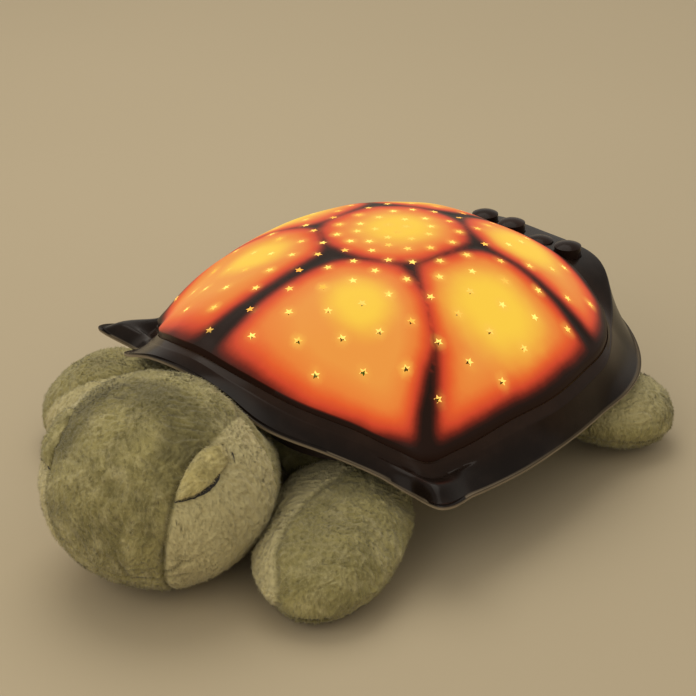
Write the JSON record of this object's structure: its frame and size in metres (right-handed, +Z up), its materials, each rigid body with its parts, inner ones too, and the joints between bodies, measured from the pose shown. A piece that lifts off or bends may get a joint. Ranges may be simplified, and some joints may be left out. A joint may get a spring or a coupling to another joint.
{
  "type": "star night light projector",
  "caption": "Sleeping plush turtle with a hard lit shell, pierced with stars and set in a flared rim, that throws a field of stars; keys on the shell's rear shelf",
  "frame": {"origin": "On the table under the middle of the hard shell, on the flat underside of the plush belly", "axes": "+Z up, -Y towards the turtle's nose, +X to the turtle's left"},
  "size_m": [0.2159, 0.3025, 0.0948],
  "materials": {
    "dome": "translucent moulded amber, lit from inside, with star-shaped holes",
    "rim": "glossy moulded dark brown",
    "case": "fine matt moulded dark brown",
    "fixings": "plated steel",
    "circuit_board": "green solder mask",
    "black_plastic": "moulded black",
    "capacitor_sleeve": "shrunk sleeve",
    "white_plastic": "moulded white",
    "led_amber": "clear tinted, lit",
    "led_blue": "clear tinted, off",
    "led_green": "clear tinted, off",
    "button": "glossy domed dark brown",
    "cell_sleeve": "plain printed sleeve on a steel can",
    "contact": "nickel-plated strip",
    "ribbon": "flat grey cable",
    "hook_tape": "hook tape",
    "loop_tape": "loop tape",
    "plush": "short mottled olive pile, stuffed",
    "head_plush": "short olive pile with a darker middle panel, stuffed",
    "eyelid": "yellowish short pile"
  },
  "bodies": {
    "housing": {"dome_shell": "dome", "rim_skirt": "rim", "lower_case": "case", "case_screws": "fixings", "board_screws": "fixings", "main_board": "circuit_board", "lamp_board": "circuit_board", "switch_board": "circuit_board", "timer_chip": "black_plastic", "tact_switches": "black_plastic", "capacitors": "capacitor_sleeve", "lamp_post": "white_plastic", "switch_board_posts": "case", "led_amber": "led_amber", "led_blue": "led_blue", "led_green": "led_green", "battery_cells": "cell_sleeve", "cell_contacts": "contact", "cell_springs": "contact", "contact_wall": "case", "battery_ribbon": "ribbon", "lamp_ribbon": "ribbon", "button_ribbon": "ribbon", "hook_pads": "hook_tape", "loop_pads": "loop_tape", "plush_body": "plush", "plush_neck": "plush", "flipper_front_left": "plush", "flipper_front_right": "plush", "flipper_rear_left": "plush", "flipper_rear_right": "plush", "tail": "plush", "plush_head": "head_plush", "eyelid_left": "eyelid", "eyelid_right": "eyelid"},
    "button_amber": {"button_amber": "button"},
    "button_blue": {"button_blue": "button"},
    "button_power": {"button_power": "button"},
    "button_green": {"button_green": "button"},
    "battery_door": {"battery_door": "case", "door_screw": "fixings"}
  },
  "joints": [
    {"name": "press_amber", "type": "slide", "parent": "housing", "child": "button_amber", "axis": [0, 0, -1], "range_m": [0, 0.0008], "stiffness_N_per_m": 1500, "springref_m": -0.0002},
    {"name": "press_blue", "type": "slide", "parent": "housing", "child": "button_blue", "axis": [0, 0, -1], "range_m": [0, 0.0008], "stiffness_N_per_m": 1500, "springref_m": -0.0002},
    {"name": "press_power", "type": "slide", "parent": "housing", "child": "button_power", "axis": [0, 0, -1], "range_m": [0, 0.0008], "stiffness_N_per_m": 1500, "springref_m": -0.0002},
    {"name": "press_green", "type": "slide", "parent": "housing", "child": "button_green", "axis": [0, 0, -1], "range_m": [0, 0.0008], "stiffness_N_per_m": 1500, "springref_m": -0.0002},
    {"name": "door_hinge", "type": "hinge", "parent": "housing", "child": "battery_door", "pos_m": [0, 0.0164, 0.0104], "axis": [-1, 0, 0], "range_deg": [0, 70]}
  ]
}
